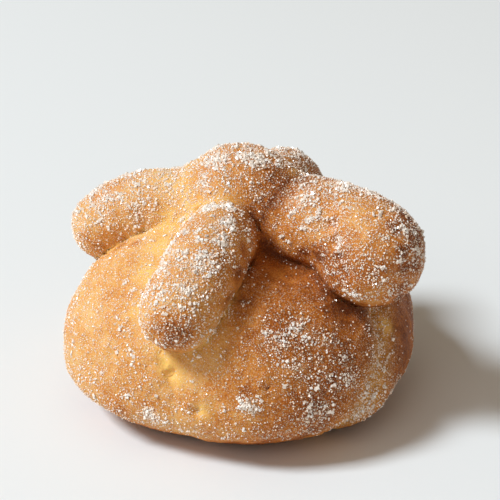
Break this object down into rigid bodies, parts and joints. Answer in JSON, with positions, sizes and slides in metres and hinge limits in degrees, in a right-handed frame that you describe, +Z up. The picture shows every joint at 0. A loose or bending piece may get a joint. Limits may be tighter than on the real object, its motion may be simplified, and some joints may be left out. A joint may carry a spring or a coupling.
{
  "type": "sweet festive bread bun",
  "caption": "Round sugared sweet bun with rolled dough bones crossed over its dome and a dough knob on top, resting on a flat underside.",
  "frame": {"origin": "on the table under the middle of the whole loaf's box", "axes": "+Z up out of the dome, +X to the right and -Y to the front, with one bone pointing to the front"},
  "size_m": [0.111, 0.1078, 0.0811],
  "materials": {
    "baked_crust": "soft baked sweet-dough crust, golden brown, pale yellow in its stretched creases, with granulated sugar",
    "strip_crust": "the same crust on the rolled strips and the knob, browner on top and at the tips, with granulated sugar",
    "sugar": "translucent white granulated sugar, glossy facets"
  },
  "bodies": {
    "root": {"bun": "baked_crust", "bone_left": "strip_crust", "bone_front": "strip_crust", "bone_right": "strip_crust", "bone_back": "strip_crust", "knob": "strip_crust"}
  },
  "joints": []
}
